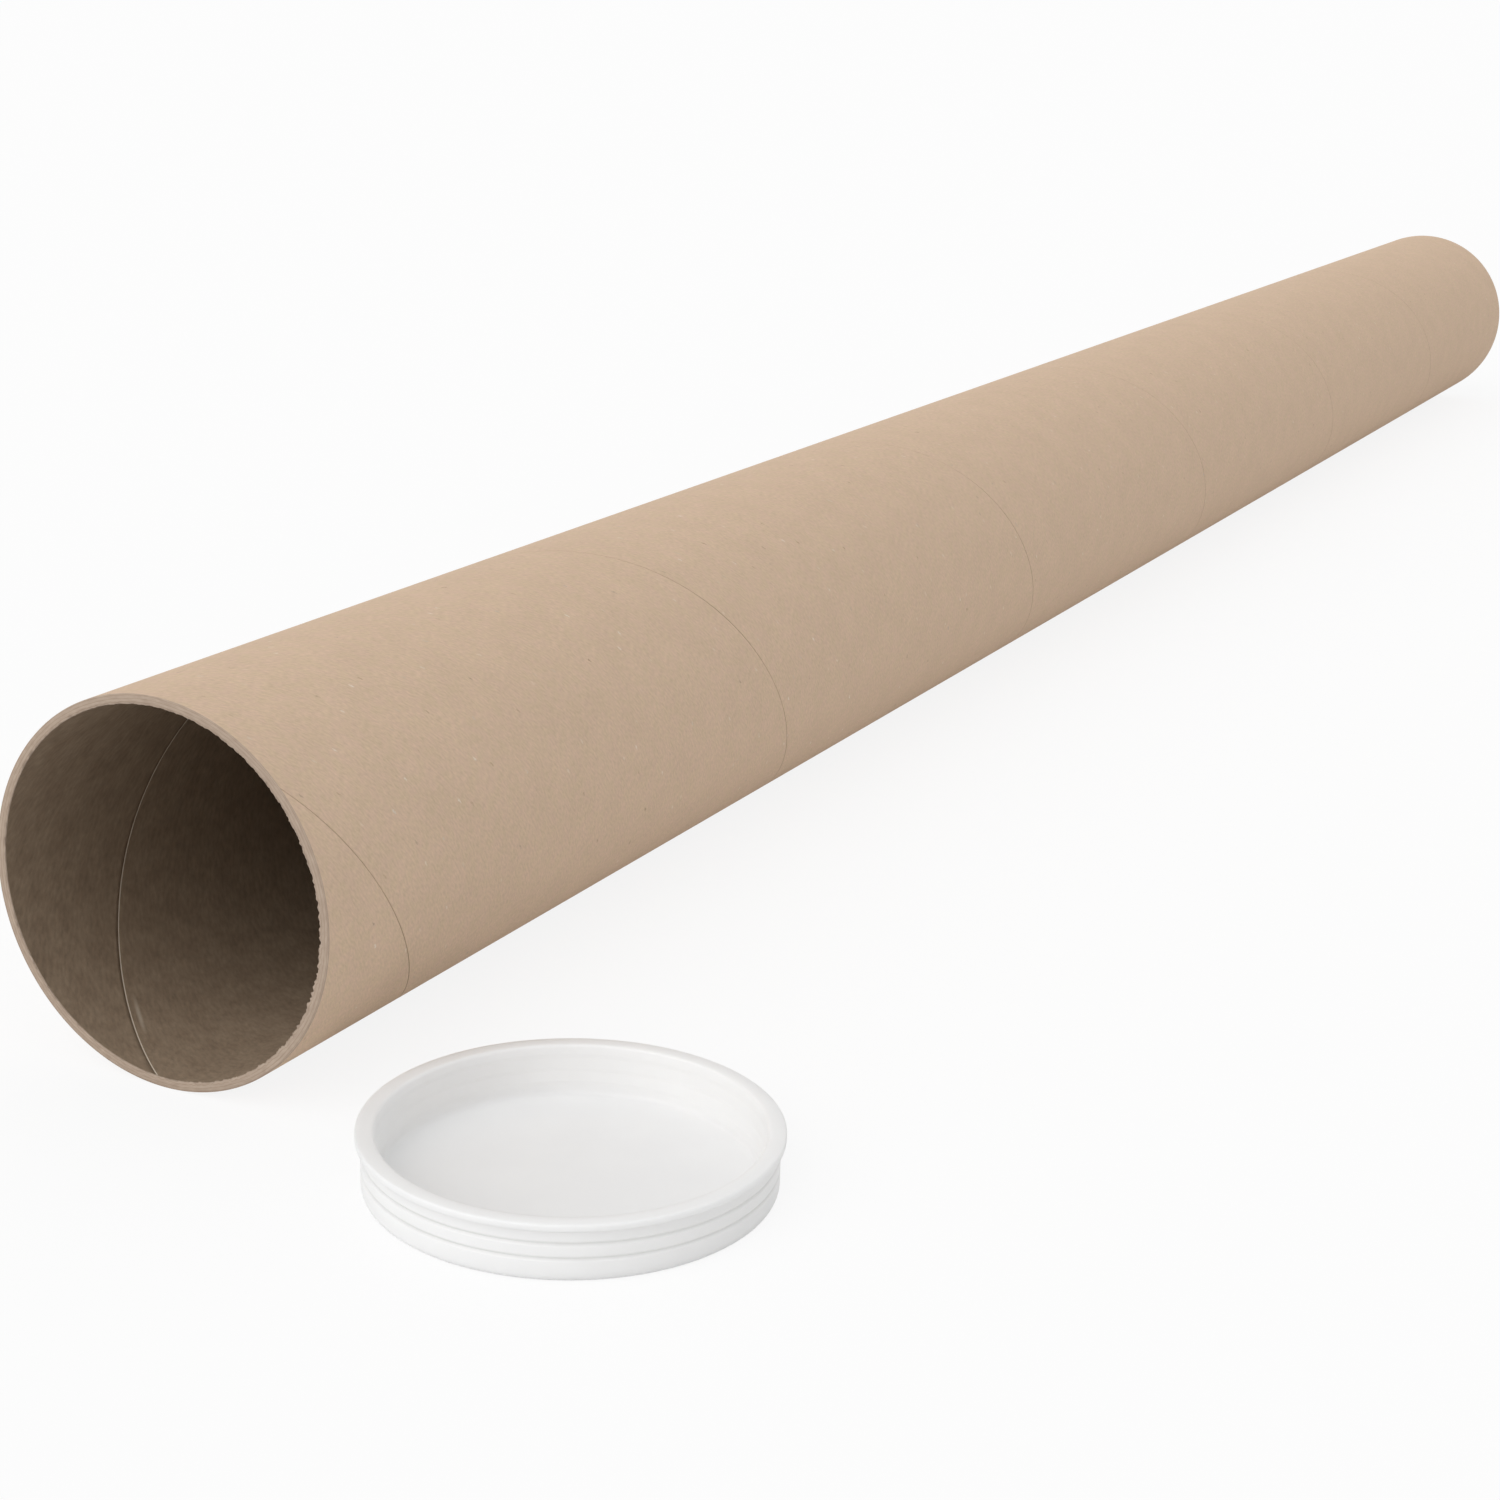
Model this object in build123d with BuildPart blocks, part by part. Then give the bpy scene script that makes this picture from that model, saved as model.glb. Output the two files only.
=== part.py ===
# Spiral-wound cardboard mailing tube with one plug cap taken off and one in its far end.
# Millimetres. +Z up, the tube lies along +Y with its open mouth at Y = 0 facing -Y.
# The loose cap stands on the same floor, open side up, on the +X side of the mouth.
import os
from math import sqrt

from build123d import *

os.makedirs("parts", exist_ok=True)

# tube: three-inch core, two millimetre wound wall
bore_r = 38.0
wall_t = 2.0
tube_len = 1000.0
tube_r = bore_r + wall_t

# plug cap, height measured from the underside of its cup
cap_h = 11.5
flange_t = 1.3
flange_setback = 0.7
flange_ease = 0.35
rib_squeeze = 0.3
rib_rise = 0.3
rib_crest = 1.5
rib_count = 3
cup_wall = 2.2
cup_draft = 0.5
cup_floor = 1.2
cup_corner = 1.8
well_corner = 1.2
lip_bevel = 0.7

# seat that the fitted plug has pressed into the board at the far end
seat_gap = 0.1
seat_spare = 1.0
seat_lead = 2.0

# place of the loose cap on the floor
cap_x = 89.2
cap_y = 5.9

flange_r = tube_r - flange_setback
rib_r = bore_r + rib_squeeze
plug_r = rib_r - rib_rise
cup_r = plug_r - cup_wall
well_r = cup_r - cup_draft
plug_h = cap_h - flange_t
seat_r = rib_r + seat_gap
seat_depth = plug_h + seat_spare
rib_pitch = (plug_h - cup_corner) / rib_count
corner_mid = cup_corner * (1 - sqrt(0.5))


def cap_section(plane):
    # half section of the cap: x is the radius, y the height above its underside
    outline = [
        (0, 0),
        (plug_r - cup_corner, 0),
        (plug_r - corner_mid, corner_mid),
        (plug_r, cup_corner),
    ]
    # barbed plug wall: broad ribs that meet in narrow grooves
    for i in range(rib_count):
        foot = cup_corner + rib_pitch * i
        flank = (rib_pitch - rib_crest) / 2
        outline.append((rib_r, foot + flank))
        outline.append((rib_r, foot + flank + rib_crest))
        outline.append((plug_r, foot + rib_pitch))
    # flange, its upper edges eased, then the inside of the cup, which narrows towards its floor
    outline += [
        (flange_r, plug_h),
        (flange_r, cap_h - flange_ease),
        (flange_r - flange_ease, cap_h),
        (cup_r + lip_bevel, cap_h),
        (cup_r, cap_h - lip_bevel),
        (well_r, cup_floor + well_corner),
        (well_r - well_corner, cup_floor),
        (0, cup_floor),
    ]
    with BuildSketch(plane) as section:
        with BuildLine():
            Polyline(*outline, close=True)
        make_face()
    return section.sketch


# wound cardboard tube, its far end opened a little where the plug sits
with BuildPart() as tube:
    with BuildSketch(Plane.XY):
        with BuildLine():
            Polyline(
                (bore_r, 0),
                (tube_r, 0),
                (tube_r, tube_len),
                (seat_r, tube_len),
                (seat_r, tube_len - seat_depth),
                (bore_r, tube_len - seat_depth - seat_lead),
                close=True,
            )
        make_face()
    revolve(axis=Axis.Y)
tube.part.label = "tube"

# cap taken off: stands on its underside, open side up
with BuildPart() as front_cap:
    front_plane = Plane(origin=(cap_x, cap_y, -tube_r), x_dir=(1, 0, 0), z_dir=(0, -1, 0))
    add(cap_section(front_plane))
    revolve(axis=Axis((cap_x, cap_y, 0), (0, 0, 1)))
front_cap.part.label = "front_cap"

# cap in the far end: flange against the cut end, open side outwards
with BuildPart() as rear_cap:
    rear_plane = Plane(origin=(0, tube_len - plug_h, 0), x_dir=(1, 0, 0), z_dir=(0, 0, 1))
    add(cap_section(rear_plane))
    revolve(axis=Axis.Y)
rear_cap.part.label = "rear_cap"

export_step(tube.part, "parts/tube.step")
export_step(front_cap.part, "parts/front_cap.step")
export_step(rear_cap.part, "parts/rear_cap.step")
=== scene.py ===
# Looks of the cardboard mailing tube: wound board, sawn ends and two moulded plug caps.
import math

import bmesh
import bpy
from mathutils import Matrix, Vector, noise


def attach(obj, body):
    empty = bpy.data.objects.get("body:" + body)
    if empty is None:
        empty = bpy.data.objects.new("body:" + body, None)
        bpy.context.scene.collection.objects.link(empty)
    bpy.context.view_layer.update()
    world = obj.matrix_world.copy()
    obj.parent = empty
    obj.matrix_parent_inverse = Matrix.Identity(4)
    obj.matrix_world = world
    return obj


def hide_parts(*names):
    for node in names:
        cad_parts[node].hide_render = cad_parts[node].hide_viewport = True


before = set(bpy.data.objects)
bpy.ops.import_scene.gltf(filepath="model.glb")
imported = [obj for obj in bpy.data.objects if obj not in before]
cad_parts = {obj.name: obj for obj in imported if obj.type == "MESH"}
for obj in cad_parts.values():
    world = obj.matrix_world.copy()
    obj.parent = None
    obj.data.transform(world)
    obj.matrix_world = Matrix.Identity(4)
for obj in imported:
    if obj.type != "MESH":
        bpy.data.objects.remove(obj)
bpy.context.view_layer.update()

MM = 0.001
TURN = 2 * math.pi

# tube, in millimetres: its mouth is at Y = 0 and the fitted plug sits in a seat at the far end
BORE_R = 38.0
TUBE_R = 40.0
TUBE_LEN = 1000.0
SEAT_R = 38.4
SEAT_DEPTH = 11.2
SEAT_LEAD = 2.0
SEAT_RUN_IN = 1.0

# sawn ends, in millimetres: a worn outer edge, a flat cut, and at the mouth fibre that frays along the bore
EDGE_EASE = 0.25
EDGE_MID = 0.07
CUT_RING_IN = 0.9
FRAY_FROM = 0.7
FRAY_SWAY = 0.1
FRAY_LOW = 0.02
FRAY_HIGH = 0.12
TORN_EDGE = 0.3
TORN_REACH = 1.0

# winding, in millimetres: one strip of paper outside and one inside, both climbing the same way
PITCH = 167.0
OUTER_SEAM_AT = 19.9
INNER_SEAM_AT = 124.0
LAY = math.atan2(-PITCH, TURN * TUBE_R)
SEAM_HALF = 0.14
SEAM_DROP = 0.12
STRIP_MARGIN = 1.0
JOINT_GAP = 0.22
JOINT_DEPTH = 0.06
JOINT_FOOT = 0.06
JOINT_LIP = 0.1
COLUMNS = 640

# a rubbed streak on the unrolled lining, in millimetres: its middle, its half length and its half width
RUB_ALONG = 133.0
RUB_FROM_JOINT = 2.0
RUB_AT = (RUB_ALONG, INNER_SEAM_AT * math.cos(LAY) + RUB_FROM_JOINT, 0.0)
RUB_HALF_LEN = 6.5
RUB_HALF_W = 0.7

# plug cap, in millimetres, heights from the underside of its cup
CAP_H = 11.5
FLANGE_T = 1.3
FLANGE_R = 39.3
FLANGE_EASE = 0.5
RIB_R = 38.3
PLUG_R = 38.0
CUP_R = 35.8
WELL_R = 35.3
CUP_FLOOR = 1.2
CUP_CORNER = 1.8
LIP_EASE = 0.7
WELL_EASE = 1.4
RIB_COUNT = 3
RIB_EASE = 0.2
GROOVE_W = 1.1
GROOVE_EASE = 0.04
NECK_DROP = 0.05
SINK_DEPTH = 0.06
SINK_ABOVE = 0.8
SINK_BELOW = 0.5
SINK_EASE = 0.3
PLUG_H = CAP_H - FLANGE_T
RIB_PITCH = (PLUG_H - CUP_CORNER) / RIB_COUNT
LOOSE_CAP_X = 89.2
LOOSE_CAP_Y = 5.9
CAP_COLUMNS = 240
BROAD_EASE = 0.6


def colour(code):
    """sRGB hex to linear RGBA."""
    parts = [int(code[i:i + 2], 16) / 255 for i in (1, 3, 5)]
    return [c / 12.92 if c <= 0.04045 else ((c + 0.055) / 1.055) ** 2.4 for c in parts] + [1.0]


def add(tree, kind, inputs=None, **settings):
    """A node with its settings, its sockets filled with values or links."""
    node = tree.nodes.new(kind)
    for key, value in settings.items():
        setattr(node, key, value)
    for key, value in (inputs or {}).items():
        if isinstance(value, bpy.types.NodeSocket):
            tree.links.new(value, node.inputs[key])
        else:
            node.inputs[key].default_value = value
    return node


def finish_of(name, values):
    """A material whose even values sit on its shader's own sockets."""
    made = bpy.data.materials.new(name)
    made.use_nodes = True
    shader = made.node_tree.nodes["Principled BSDF"]
    for key, value in values.items():
        shader.inputs[key].default_value = value
    return made, made.node_tree, shader


def kraft_liner_paper():
    # Unbleached kraft liner off a paper machine: a matt warm tan with cloudy formation, fibres
    # lying along the strip, and the odd pale, brown or blue fibre from recycled pulp.
    made, tree, shader = finish_of("kraft_liner_paper", {"Roughness": 0.85, "Specular IOR Level": 0.25})
    strip = add(tree, "ShaderNodeAttribute", attribute_name="strip_mm").outputs["Vector"]
    along = add(tree, "ShaderNodeVectorMath", {0: strip, 1: (0.4, 1.0, 1.0)},
                operation="MULTIPLY").outputs[0]

    # formation clouds 9 mm and tint patches 2.5 mm across, fibres 0.5 mm wide, drawn coarser than real
    cloud = add(tree, "ShaderNodeTexNoise", {"Vector": strip, "Scale": 1 / 9.0, "Detail": 3.0}).outputs[0]
    patch = add(tree, "ShaderNodeTexNoise", {"Vector": strip, "Scale": 1 / 2.5, "Detail": 2.0}).outputs[0]
    fibre = add(tree, "ShaderNodeTexNoise", {"Vector": along, "Scale": 1 / 0.5, "Detail": 3.0}).outputs[0]
    tint = add(tree, "ShaderNodeMapRange", {"Value": patch, 1: 0.35, 2: 0.65}).outputs[0]
    tan = add(tree, "ShaderNodeMix", {0: tint, 6: colour("#d6bda1"), 7: colour("#d9bda5")},
              data_type="RGBA").outputs[2]
    shade = add(tree, "ShaderNodeMapRange", {"Value": cloud, 1: 0.3, 2: 0.7, 3: 0.955, 4: 1.0}).outputs[0]
    grain = add(tree, "ShaderNodeMapRange", {"Value": fibre, 1: 0.25, 2: 0.75, 3: 0.87, 4: 1.07}).outputs[0]
    depth = add(tree, "ShaderNodeMath", {0: shade, 1: grain}, operation="MULTIPLY").outputs[0]
    paper = add(tree, "ShaderNodeVectorMath", {0: tan, "Scale": depth}, operation="SCALE").outputs[0]

    # one stray fibre at most in each 6 mm cell, about 0.4 mm across, its kind and strength drawn by lot
    ragged = add(tree, "ShaderNodeTexNoise", {"Vector": strip, "Scale": 1 / 0.6}).outputs[1]
    rough_at = add(tree, "ShaderNodeVectorMath", {0: ragged, 1: (0.8, 0.8, 0.8), 2: along},
                   operation="MULTIPLY_ADD").outputs[0]
    cell = add(tree, "ShaderNodeTexVoronoi", {"Vector": rough_at, "Scale": 1 / 6.0},
               voronoi_dimensions="2D")
    dot = add(tree, "ShaderNodeMapRange", {
        "Value": cell.outputs["Distance"], 1: 0.02, 2: 0.05, 3: 1.0, 4: 0.0}).outputs[0]
    lot = add(tree, "ShaderNodeSeparateColor", {0: cell.outputs["Color"]})
    for lot_part, chance, stray in ((0, 0.6, "#ece3d7"), (1, 0.4, "#957760"), (2, 0.01, "#7f86a0")):
        drawn = add(tree, "ShaderNodeMapRange", {
            "Value": lot.outputs[lot_part], 2: chance, 3: 0.65, 4: 0.0}).outputs[0]
        here = add(tree, "ShaderNodeMath", {0: drawn, 1: dot}, operation="MULTIPLY").outputs[0]
        paper = add(tree, "ShaderNodeMix", {0: here, 6: paper, 7: colour(stray)},
                    data_type="RGBA").outputs[2]

    # the butt joint of the strip, a dark line of glue and painted shade in the gap, tight on some
    # stretches of about 45 mm and a little open on others, where the painted shade is darker
    joint_shade_and_highlight = add(tree, "ShaderNodeAttribute", attribute_name="seam").outputs["Fac"]
    run = add(tree, "ShaderNodeTexNoise", {"Vector": strip, "Scale": 1 / 45.0, "Detail": 1.0}).outputs[0]
    how_open = add(tree, "ShaderNodeMapRange", {
        "Value": run, 1: 0.35, 2: 0.65, 3: 0.25, 4: 0.75}).outputs[0]
    line = add(tree, "ShaderNodeMath", {0: joint_shade_and_highlight, 1: how_open}, operation="MULTIPLY").outputs[0]
    # painted shade with glue: the dark colour along the joint, scaled by how open it is
    paper = add(tree, "ShaderNodeMix", {0: line, 6: paper, 7: colour("#7a6450")},
                data_type="RGBA").outputs[2]
    tree.links.new(paper, shader.inputs["Base Color"])
    nap = add(tree, "ShaderNodeBump", {"Strength": 0.2, "Distance": 0.03 * MM, "Height": fibre}).outputs[0]
    tree.links.new(nap, shader.inputs["Normal"])
    return made


def chipboard_lining():
    # Grey chipboard, the recycled ply that lines the bore: duller and rougher than the liner, with
    # short mixed fibres. The cut edge of its strip gets a painted highlight, a pale hairline.
    made, tree, shader = finish_of("chipboard_lining", {"Roughness": 0.92, "Specular IOR Level": 0.15})
    strip = add(tree, "ShaderNodeAttribute", attribute_name="strip_mm").outputs["Vector"]
    along = add(tree, "ShaderNodeVectorMath", {0: strip, 1: (0.45, 1.0, 1.0)},
                operation="MULTIPLY").outputs[0]
    # clouds 5 mm across and fibres 0.9 mm wide, drawn coarser than real
    cloud = add(tree, "ShaderNodeTexNoise", {"Vector": strip, "Scale": 1 / 5.0, "Detail": 4.0}).outputs[0]
    fibre = add(tree, "ShaderNodeTexNoise", {"Vector": along, "Scale": 1 / 0.9, "Detail": 5.0}).outputs[0]
    tint = add(tree, "ShaderNodeMapRange", {"Value": cloud, 1: 0.35, 2: 0.65}).outputs[0]
    ply = add(tree, "ShaderNodeMix", {0: tint, 6: colour("#917e6a"), 7: colour("#9c8974")},
              data_type="RGBA").outputs[2]
    grain = add(tree, "ShaderNodeMapRange", {"Value": fibre, 1: 0.3, 2: 0.7, 3: 0.8, 4: 1.06}).outputs[0]
    ply = add(tree, "ShaderNodeVectorMath", {0: ply, "Scale": grain}, operation="SCALE").outputs[0]

    # one pale rubbed streak, beside the joint and near the mouth
    from_rub = add(tree, "ShaderNodeVectorMath", {0: strip, 1: RUB_AT}, operation="SUBTRACT").outputs[0]
    in_rub = add(tree, "ShaderNodeVectorMath", {0: from_rub, 1: (1 / RUB_HALF_LEN, 1 / RUB_HALF_W, 0.0)},
                 operation="MULTIPLY").outputs[0]
    reach = add(tree, "ShaderNodeVectorMath", {0: in_rub}, operation="LENGTH").outputs["Value"]
    rub = add(tree, "ShaderNodeMapRange", {"Value": reach, 1: 0.2, 2: 1.0, 3: 0.4, 4: 0.0}).outputs[0]
    ply = add(tree, "ShaderNodeMix", {0: rub, 6: ply, 7: colour("#d8cbba")}, data_type="RGBA").outputs[2]
    # painted highlight: a pale hairline on the cut edge of the strip at the joint
    joint_shade_and_highlight = add(tree, "ShaderNodeAttribute", attribute_name="seam").outputs["Fac"]
    ply = add(tree, "ShaderNodeMix", {0: joint_shade_and_highlight, 6: ply, 7: colour("#d8cbba")}, data_type="RGBA").outputs[2]
    tree.links.new(ply, shader.inputs["Base Color"])
    nap = add(tree, "ShaderNodeBump", {"Strength": 0.4, "Distance": 0.06 * MM, "Height": fibre}).outputs[0]
    tree.links.new(nap, shader.inputs["Normal"])
    return made


def sawn_board_end():
    # Sawn end of the wound board: pale torn fibre with thin darker glue lines between the plies.
    made, tree, shader = finish_of("sawn_board_end", {"Roughness": 0.92, "Specular IOR Level": 0.15})
    strip = add(tree, "ShaderNodeAttribute", attribute_name="strip_mm").outputs["Vector"]
    in_wall = add(tree, "ShaderNodeSeparateXYZ", {0: strip}).outputs[2]
    # torn fibre 0.5 mm thick and four times as long, plies 0.65 mm thick that sway every 14 mm or so
    round_it = add(tree, "ShaderNodeVectorMath", {0: strip, 1: (0.25, 0.25, 1.0)},
                   operation="MULTIPLY").outputs[0]
    fibre = add(tree, "ShaderNodeTexNoise", {
        "Vector": round_it, "Scale": 1 / 0.5, "Detail": 3.0}).outputs[0]
    sway = add(tree, "ShaderNodeTexNoise", {"Vector": strip, "Scale": 1 / 14.0}).outputs[0]
    ply_at = add(tree, "ShaderNodeMath", {0: sway, 1: 0.5, 2: in_wall}, operation="MULTIPLY_ADD").outputs[0]
    from_glue = add(tree, "ShaderNodeMath", {0: ply_at, 1: 0.325}, operation="PINGPONG").outputs[0]
    glue = add(tree, "ShaderNodeMapRange", {"Value": from_glue, 1: 0.0, 2: 0.1, 3: 0.55, 4: 0.0}).outputs[0]
    tear = add(tree, "ShaderNodeMapRange", {"Value": fibre, 1: 0.3, 2: 0.7}).outputs[0]
    board = add(tree, "ShaderNodeMix", {0: tear, 6: colour("#a69383"), 7: colour("#b5a392")},
                data_type="RGBA").outputs[2]
    board = add(tree, "ShaderNodeMix", {0: glue, 6: board, 7: colour("#8b7562")},
                data_type="RGBA").outputs[2]
    tree.links.new(board, shader.inputs["Base Color"])
    nap = add(tree, "ShaderNodeBump", {"Strength": 0.5, "Distance": 0.1 * MM, "Height": fibre}).outputs[0]
    tree.links.new(nap, shader.inputs["Normal"])
    return made


def moulded_polyethylene():
    # Low-density polyethylene, injection moulded: milky white and satin, light spreads a little way in.
    # The narrow grooves between the ribs get painted shade, a greyer base colour.
    made, tree, shader = finish_of("moulded_polyethylene", {
        "IOR": 1.51, "Subsurface Weight": 0.65, "Subsurface Scale": 7.0 * MM,
        "Subsurface Radius": (1.0, 1.0, 0.97)})
    place = add(tree, "ShaderNodeTexCoord").outputs["Object"]
    # faint flow marks 12 mm across, and a tool grain of 0.6 mm drawn coarser than real
    flow = add(tree, "ShaderNodeTexNoise", {
        "Vector": place, "Scale": 1 / (12 * MM), "Detail": 2.0}).outputs[0]
    grain = add(tree, "ShaderNodeTexNoise", {
        "Vector": place, "Scale": 1 / (0.6 * MM), "Detail": 2.0}).outputs[0]
    milk = add(tree, "ShaderNodeMix", {0: flow, 6: colour("#ececec"), 7: colour("#f2f2f1")},
               data_type="RGBA").outputs[2]
    satin = add(tree, "ShaderNodeMapRange", {"Value": flow, 3: 0.38, 4: 0.5}).outputs[0]
    nap = add(tree, "ShaderNodeBump", {"Strength": 0.1, "Distance": 0.02 * MM, "Height": grain}).outputs[0]
    # painted shade: a greyer base colour in the grooves between the ribs, by how deep each point sits
    groove_shade = add(tree, "ShaderNodeAttribute", attribute_name="painted_groove_shade").outputs["Fac"]
    milk = add(tree, "ShaderNodeMix", {0: groove_shade, 6: milk, 7: colour("#dbdbda")}, data_type="RGBA").outputs[2]
    tree.links.new(milk, shader.inputs["Base Color"])
    tree.links.new(satin, shader.inputs["Roughness"])
    tree.links.new(nap, shader.inputs["Normal"])
    return made


def on_tube(angle, along, radius):
    """A point of the tube in metres: angle from +X towards +Z, then along +Y and radius in millimetres."""
    return Vector((radius * math.cos(angle), along, radius * math.sin(angle))) * MM


def on_strip(angle, along, radius):
    """The same point on the unrolled paper, in millimetres: along, across and through the wall."""
    round_by = TUBE_R * angle
    return Vector((
        round_by * math.cos(LAY) + along * math.sin(LAY),
        along * math.cos(LAY) - round_by * math.sin(LAY),
        radius - BORE_R))


def lay_face(bm, corners, finish):
    """A smooth face through corners of (vertex, place on the strip, share of the seam's tone: glue and
    painted shade on the liner, a painted highlight on the lining).
    """
    face = bm.faces.new([vertex for vertex, _, _ in corners])
    face.smooth = True
    face.material_index = finish
    strip, seam = bm.loops.layers.float_vector["strip_mm"], bm.loops.layers.float["seam"]
    for loop, (_, place, tone) in zip(face.loops, corners):
        loop[strip] = place
        loop[seam] = tone


def wind_strip(bm, radius, low, high, seam_at, rows, finish):
    """A wall wound from one strip that climbs the tube, its edges meeting in a seam. Each row is a
    distance from the strip's lower edge, the paper's drop towards the axis and the share of the seam's
    tone: glue and painted shade on the liner, a painted highlight on the lining."""
    first = math.floor((seam_at - high) / PITCH * COLUMNS)
    last = math.ceil((seam_at - low + PITCH) / PITCH * COLUMNS)
    before = None
    for i in range(first, last + 1):
        angle = TURN * i / COLUMNS
        lower_edge = seam_at - PITCH * angle / TURN
        column = []
        for across, drop, tone in rows:
            along = min(max(lower_edge + across, low), high)
            kept = low < along < high
            r = radius - drop if kept else radius
            vertex = bm.verts.new(on_tube(angle, along, r))
            column.append((vertex, on_strip(angle, along, r), tone if kept else 0.0))
        if before:
            for k in range(len(rows) - 1):
                corners = [before[k], before[k + 1], column[k + 1], column[k]]
                heights = [vertex.co.y for vertex, _, _ in corners]
                squeezed_flat = max(heights) - min(heights) <= 1e-9
                if not squeezed_flat:
                    lay_face(bm, corners, finish)
        before = column


def torn(angle, k, reach):
    """How far torn fibre strays at this angle on ring k, most on the side where the saw left the board."""
    saw_left_at = -0.35
    burr = 0.3 + 0.7 * max(0.0, math.cos(angle - saw_left_at))
    teeth = 0.0
    for share, per_radian, between_rings in ((0.7, 60, 7.3), (0.3, 24, 3.1)):
        at = Vector((per_radian * math.cos(angle), per_radian * math.sin(angle), between_rings * k))
        teeth += share * noise.noise(at)
    return reach * burr * teeth


def turn_ring(bm, profile, finish):
    """A ring of the tube turned from points of (radius, along, how far fibre strays)."""
    before = None
    for k, (r, along, reach) in enumerate(profile):
        ring = []
        for i in range(COLUMNS + 1):
            angle = TURN * i / COLUMNS
            stray = torn(angle, k, reach)
            vertex = bm.verts.new(on_tube(angle, along, r + stray))
            ring.append((vertex, on_strip(angle, along, r), 0.0))
        if before:
            for i in range(COLUMNS):
                lay_face(bm, [before[i], before[i + 1], ring[i + 1], ring[i]], finish)
        before = ring


def stand_for(node, name, bm, finishes, body):
    """The finished mesh as the piece that stands for a CAD node."""
    weld_within = 0.0001 * MM
    bmesh.ops.remove_doubles(bm, verts=bm.verts, dist=weld_within)
    bmesh.ops.recalc_face_normals(bm, faces=bm.faces)
    # shading breaks where two finishes meet, so that a worn edge doesn't tint the long faces beside it
    for edge in bm.edges:
        edge.smooth = len({face.material_index for face in edge.link_faces}) == 1
    mesh = bpy.data.meshes.new(name)
    bm.to_mesh(mesh)
    bm.free()
    for finish in finishes:
        mesh.materials.append(finish)
    piece = bpy.data.objects.new(name, mesh)
    bpy.context.collection.objects.link(piece)
    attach(piece, body)
    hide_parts(node)


def wound_tube():
    """The spiral-wound tube, with its mouth open and a seat pressed into its far end."""
    outside, lining, sawn = range(3)
    bm = bmesh.new()
    bm.loops.layers.float_vector.new("strip_mm")
    bm.loops.layers.float.new("seam")

    # outside: the strip's edges dip into a hairline groove where they meet, which carries glue and painted
    # shade
    edge = [(0.0, SEAM_DROP, 1.0), (0.5 * SEAM_HALF, 0.7 * SEAM_DROP, 1.0), (SEAM_HALF, 0.0, 0.15),
            (2.0 * SEAM_HALF, 0.0, 0.0), (STRIP_MARGIN, 0.0, 0.0)]
    liner_rows = edge + [(PITCH - across, drop, tone) for across, drop, tone in reversed(edge)]
    wind_strip(bm, TUBE_R, EDGE_EASE, TUBE_LEN - EDGE_EASE, OUTER_SEAM_AT, liner_rows, outside)

    # inside: the joint stands a little open, and the cut edge that faces the mouth catches the light and
    # gets a painted highlight
    lining_rows = [(0.0, -JOINT_DEPTH, 0.2), (JOINT_FOOT, -JOINT_DEPTH, 0.6), (JOINT_GAP, 0.0, 1.0),
                   (1.6 * JOINT_GAP, 0.0, 0.0), (PITCH - STRIP_MARGIN, 0.0, 0.0),
                   (PITCH - JOINT_LIP, 0.0, 0.0), (PITCH - JOINT_FOOT, -JOINT_DEPTH, 0.0),
                   (PITCH, -JOINT_DEPTH, 0.2)]
    seat_foot = TUBE_LEN - SEAT_DEPTH - SEAT_LEAD
    lining_end = seat_foot - SEAT_RUN_IN
    wind_strip(bm, BORE_R, TORN_EDGE, lining_end, INNER_SEAM_AT, lining_rows, lining)
    seat = [(BORE_R, lining_end, 0.0), (BORE_R, seat_foot, 0.0),
            (SEAT_R, TUBE_LEN - SEAT_DEPTH, 0.0), (SEAT_R, TUBE_LEN - EDGE_EASE, 0.0)]
    turn_ring(bm, seat, lining)

    # sawn ends: a worn outer edge, a flat cut and torn fibre along the bore
    mouth = [(TUBE_R, EDGE_EASE, 0.0), (TUBE_R - EDGE_MID, EDGE_MID, 0.0), (TUBE_R - EDGE_EASE, 0.0, 0.0),
             (TUBE_R - CUT_RING_IN, 0.0, 0.0), (BORE_R + FRAY_FROM, 0.0, FRAY_SWAY),
             (BORE_R + FRAY_HIGH, FRAY_LOW, TORN_REACH), (BORE_R + FRAY_LOW, FRAY_HIGH, TORN_REACH),
             (BORE_R, TORN_EDGE, 0.0)]
    turn_ring(bm, mouth, sawn)
    far_end = [(TUBE_R, TUBE_LEN - EDGE_EASE, 0.0), (TUBE_R - EDGE_MID, TUBE_LEN - EDGE_MID, 0.0),
               (TUBE_R - EDGE_EASE, TUBE_LEN, 0.0), (SEAT_R + EDGE_EASE, TUBE_LEN, 0.0),
               (SEAT_R, TUBE_LEN - EDGE_EASE, 0.0)]
    turn_ring(bm, far_end, sawn)
    stand_for("tube", "wound_tube", bm, [kraft_liner_paper(), chipboard_lining(), sawn_board_end()],
              "tube_and_loose_cap")


def eased(corners):
    """A section whose corners of (radius, height, easing) are rounded."""
    line = []
    for k, (r, height, ease) in enumerate(corners):
        here = Vector((r, height))
        if ease == 0:
            line.append(here)
            continue
        back = (Vector(corners[k - 1][:2]) - here).normalized()
        ahead = (Vector(corners[k + 1][:2]) - here).normalized()
        reach = ease / math.tan(back.angle(ahead) / 2)
        steps = 8 if ease > BROAD_EASE else 4
        for n in range(steps + 1):
            t = n / steps
            line.append(here + back * reach * (1 - t) ** 2 + ahead * reach * t ** 2)
    return line


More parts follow.
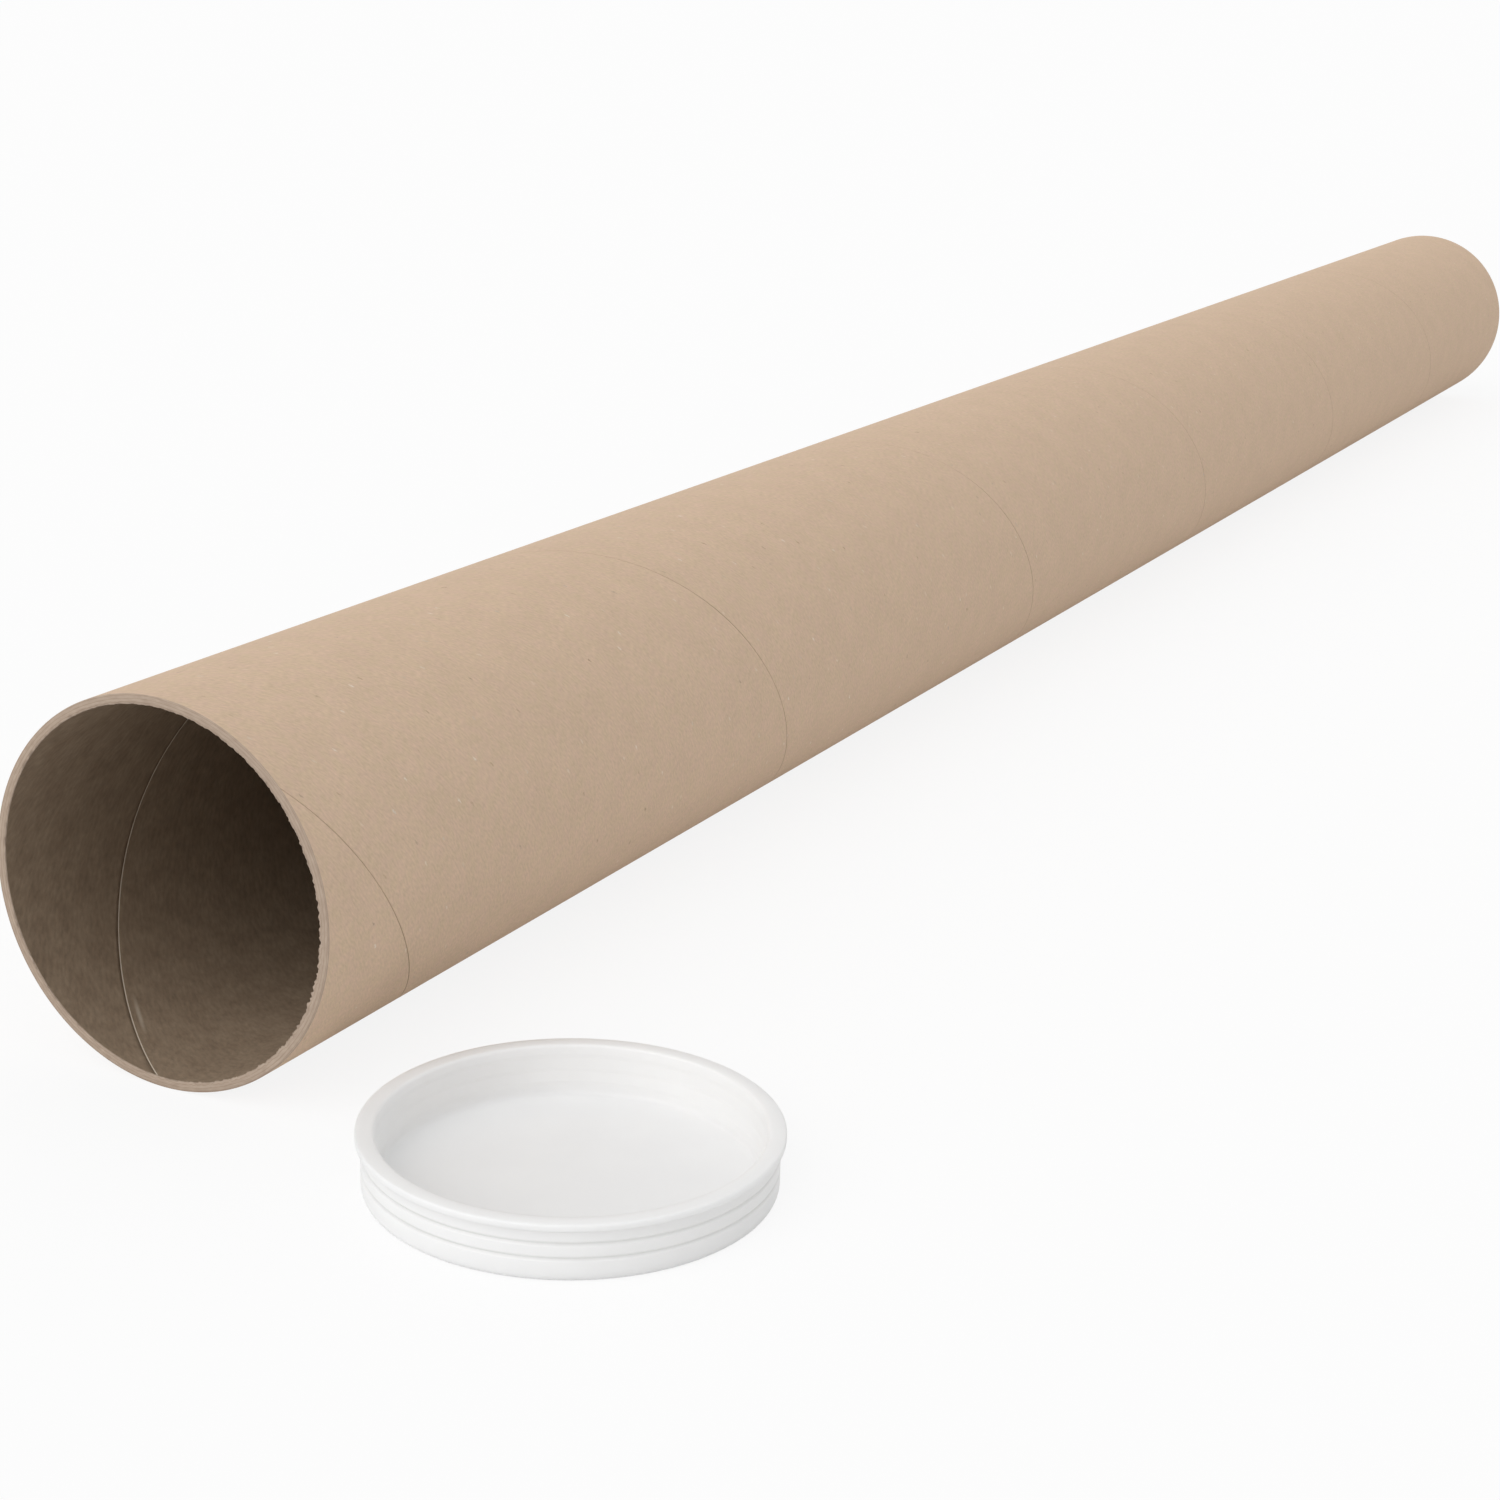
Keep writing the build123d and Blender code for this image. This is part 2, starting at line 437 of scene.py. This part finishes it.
def cap_section():
    """Half section of the plug cap, from the middle of its underside round to the middle of its cup."""
    corners = [(0, 0, 0), (PLUG_R / 2, 0, 0), (RIB_R, 0, CUP_CORNER)]
    for i in range(1, RIB_COUNT):
        groove = CUP_CORNER + RIB_PITCH * i
        corners += [(RIB_R, groove - GROOVE_W / 2, RIB_EASE), (PLUG_R, groove, GROOVE_EASE),
                    (RIB_R, groove + GROOVE_W / 2, RIB_EASE)]
    corners += [(RIB_R, PLUG_H - GROOVE_W / 2, RIB_EASE), (PLUG_R, PLUG_H - NECK_DROP, GROOVE_EASE),
                (FLANGE_R, PLUG_H, RIB_EASE), (FLANGE_R, CAP_H, FLANGE_EASE), (CUP_R, CAP_H, LIP_EASE)]
    # shallow sink rings inside, opposite the ribs
    for i in reversed(range(RIB_COUNT)):
        middle = CUP_CORNER + RIB_PITCH * (i + 0.5)
        lean = (CUP_R - WELL_R) * (CAP_H - middle) / (CAP_H - CUP_FLOOR)
        corners += [(CUP_R - lean, middle + SINK_ABOVE, SINK_EASE),
                    (CUP_R - lean + SINK_DEPTH, middle, SINK_EASE),
                    (CUP_R - lean, middle - SINK_BELOW, SINK_EASE)]
    corners += [(WELL_R, CUP_FLOOR, WELL_EASE), (WELL_R / 2, CUP_FLOOR, 0), (0, CUP_FLOOR, 0)]
    return eased(corners)


def plug_cap(node, name, place, body, plastic):
    """One plug cap, turned from its half section and set in its place."""
    bm = bmesh.new()
    # how deep each point sits in a groove between the ribs, which sets the painted groove shade
    groove = bm.verts.layers.float.new("painted_groove_shade")
    before = None
    for r, height in cap_section():
        depth = (RIB_R - r) / (RIB_R - PLUG_R)
        between_ribs = CUP_CORNER < height < PLUG_H and 0 < depth <= 1
        ring = []
        for i in range(CAP_COLUMNS if r > 0 else 1):
            angle = TURN * i / CAP_COLUMNS
            vertex = bm.verts.new(place @ Vector((r * math.cos(angle), r * math.sin(angle), height)))
            vertex[groove] = depth if between_ribs else 0.0
            ring.append(vertex)
        if r == 0:
            ring *= CAP_COLUMNS
        if before:
            for i in range(CAP_COLUMNS):
                j = (i + 1) % CAP_COLUMNS
                face = bm.faces.new(dict.fromkeys([before[i], before[j], ring[j], ring[i]]))
                face.smooth = True
        before = ring
    stand_for(node, name, bm, [plastic], body)


def seen_directly(tree):
    """1 for rays from the camera and for those that a shiny or clear surface sends on, 0 for all others."""
    path = add(tree, "ShaderNodeLightPath").outputs
    seen = add(tree, "ShaderNodeMath", {0: path["Is Camera Ray"], 1: path["Is Glossy Ray"]},
               operation="MAXIMUM").outputs[0]
    return add(tree, "ShaderNodeMath", {0: seen, 1: path["Is Transmission Ray"]},
               operation="MAXIMUM").outputs[0]


def paper_sweep():
    """The white floor: it keeps a soft shadow, and the camera sees it near white."""
    half_width = 40.0
    shown_white = 0.87
    bm = bmesh.new()
    bmesh.ops.create_grid(bm, x_segments=1, y_segments=1, size=half_width)
    mesh = bpy.data.meshes.new("paper_sweep")
    bm.to_mesh(mesh)
    bm.free()
    floor = bpy.data.objects.new("paper_sweep", mesh)
    floor.location.z = -TUBE_R * MM
    bpy.context.collection.objects.link(floor)
    made, tree, shader = finish_of("white_paper_sweep", {
        "Base Color": colour("#f2f2f2"), "Roughness": 0.95, "Specular IOR Level": 0.0})
    share = add(tree, "ShaderNodeMath", {0: seen_directly(tree), 1: shown_white},
                operation="MULTIPLY").outputs[0]
    white = add(tree, "ShaderNodeEmission", {"Color": (1, 1, 1, 1), "Strength": 1.0}).outputs[0]
    mixed = add(tree, "ShaderNodeMixShader", {0: share, 1: shader.outputs[0], 2: white}).outputs[0]
    tree.links.new(mixed, tree.nodes["Material Output"].inputs["Surface"])
    mesh.materials.append(made)


def studio_light():
    """Even white light all round, and a broad softbox in front of the mouth, a little to the left."""
    room_light = 0.65
    shines_along = Vector((0.19, 0.74, -0.645))
    world = bpy.data.worlds.new("white_studio")
    world.use_nodes = True
    bpy.context.scene.world = world
    tree = world.node_tree
    strength = add(tree, "ShaderNodeMapRange", {
        "Value": seen_directly(tree), 3: room_light, 4: 1.0}).outputs[0]
    tree.links.new(strength, tree.nodes["Background"].inputs["Strength"])
    tree.nodes["Background"].inputs["Color"].default_value = (1, 1, 1, 1)

    lamp = bpy.data.lights.new("mouth_side_softbox", "SUN")
    lamp.energy = 1.35
    lamp.angle = math.radians(60)
    holder = bpy.data.objects.new("mouth_side_softbox", lamp)
    holder.rotation_euler = shines_along.to_track_quat("-Z", "Y").to_euler()
    bpy.context.collection.objects.link(holder)


def photo_camera():
    """The camera, low and close in front of the mouth, looking along the tube."""
    lens = bpy.data.cameras.new("photo_camera")
    lens.sensor_width = 36.0
    lens.lens = 63.6
    lens.clip_start = 0.01
    holder = bpy.data.objects.new("photo_camera", lens)
    stands_at = (0.31439, -0.37417, 0.18153)
    right = Vector((0.88856, 0.45775, 0.03029)).normalized()
    ahead = Vector((-0.42914, 0.85273, -0.29780)).normalized()
    axes = Matrix((right, right.cross(ahead), -ahead)).transposed()
    holder.matrix_world = Matrix.Translation(stands_at) @ axes.to_4x4()
    bpy.context.collection.objects.link(holder)
    bpy.context.scene.camera = holder


wound_tube()
plastic = moulded_polyethylene()
in_mm = Matrix.Scale(MM, 4)
stands = Matrix.Translation(Vector((LOOSE_CAP_X, LOOSE_CAP_Y, -TUBE_R)) * MM) @ in_mm
plug_cap("front_cap", "loose_plug_cap", stands, "tube_and_loose_cap", plastic)
in_far_end = Matrix.Translation((0, (TUBE_LEN - PLUG_H) * MM, 0))
faces_out = in_far_end @ Matrix.Rotation(-TURN / 4, 4, "X") @ in_mm
plug_cap("rear_cap", "far_plug_cap", faces_out, "far_cap", plastic)
paper_sweep()
studio_light()
photo_camera()
bpy.context.scene.view_settings.view_transform = "Standard"
